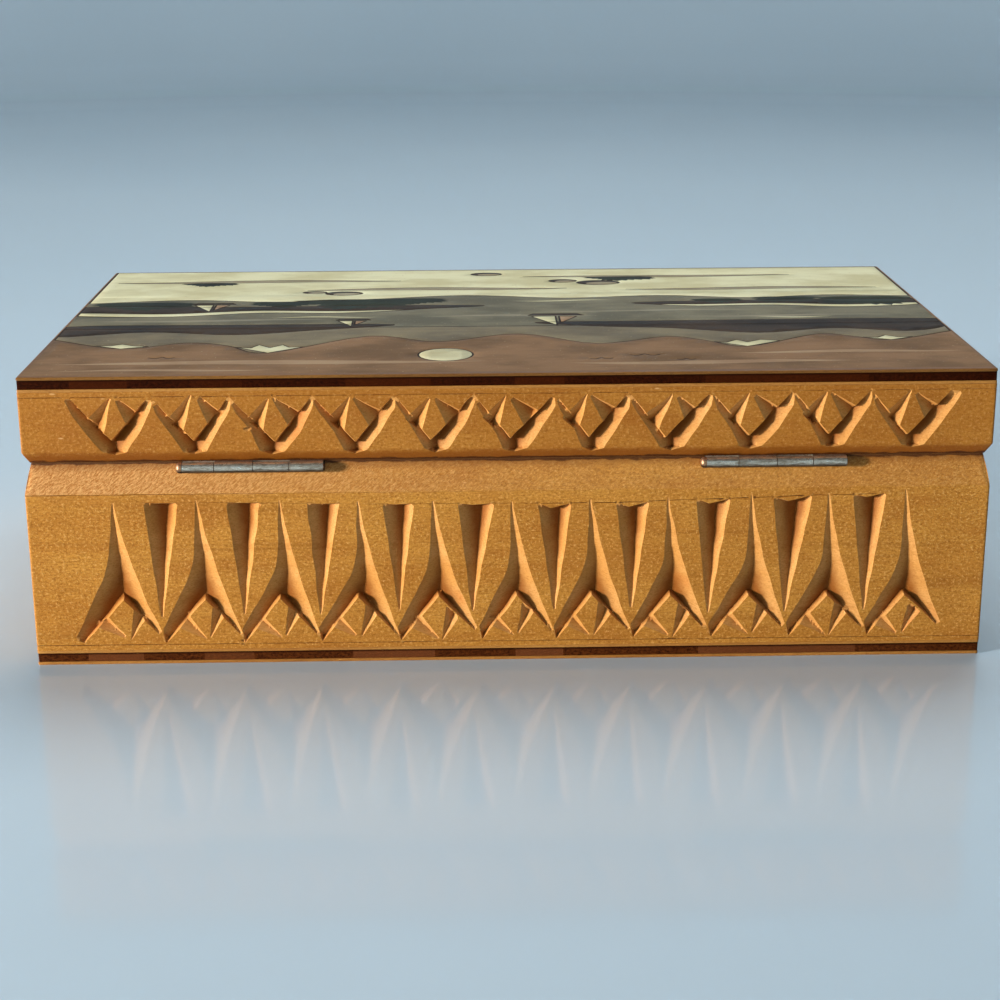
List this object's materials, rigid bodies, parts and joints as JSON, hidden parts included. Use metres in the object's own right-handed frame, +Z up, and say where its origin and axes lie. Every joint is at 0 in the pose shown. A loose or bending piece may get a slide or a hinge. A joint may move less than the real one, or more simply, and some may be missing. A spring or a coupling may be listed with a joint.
{
  "type": "trinket box",
  "caption": "Rectangular chip-carved wooden trinket box with a picture lid that swings on two small butt hinges.",
  "frame": {"origin": "middle of the underside, on the surface that the box stands on", "axes": "+X along the box's length, +Y towards the hinge side, +Z up"},
  "size_m": [0.2, 0.1201, 0.0624],
  "materials": {
    "carved_wood": "honey-coloured satin varnish over carved, straight-grained pale wood",
    "ply_face": "varnished pale face veneer",
    "ply_core": "dark reddish-brown middle ply, seen at its edges",
    "painted_top": null,
    "hinge_steel": "plain steel with dark tarnish",
    "hinge_pin": "coppery plated pin, dulled"
  },
  "bodies": {
    "base": {"base_back_board": "carved_wood", "base_front_board": "carved_wood", "base_left_board": "carved_wood", "base_right_board": "carved_wood", "bottom_outer_veneer": "ply_face", "bottom_core": "ply_core", "bottom_inner_veneer": "ply_face", "left_hinge_base_leaf": "hinge_steel", "right_hinge_base_leaf": "hinge_steel", "left_hinge_pin": "hinge_pin", "right_hinge_pin": "hinge_pin", "base_hinge_nails": "hinge_steel"},
    "lid": {"lid_back_rail": "carved_wood", "lid_front_rail": "carved_wood", "lid_left_rail": "carved_wood", "lid_right_rail": "carved_wood", "lid_inner_veneer": "ply_face", "lid_core": "ply_core", "lid_top_veneer": "painted_top", "left_hinge_lid_leaf": "hinge_steel", "right_hinge_lid_leaf": "hinge_steel", "lid_hinge_nails": "hinge_steel"}
  },
  "joints": [
    {"name": "lid_hinge", "type": "hinge", "parent": "base", "child": "lid", "pos_m": [0, 0.0595, 0.0431], "axis": [-1, 0, 0], "range_deg": [0, 170]}
  ]
}
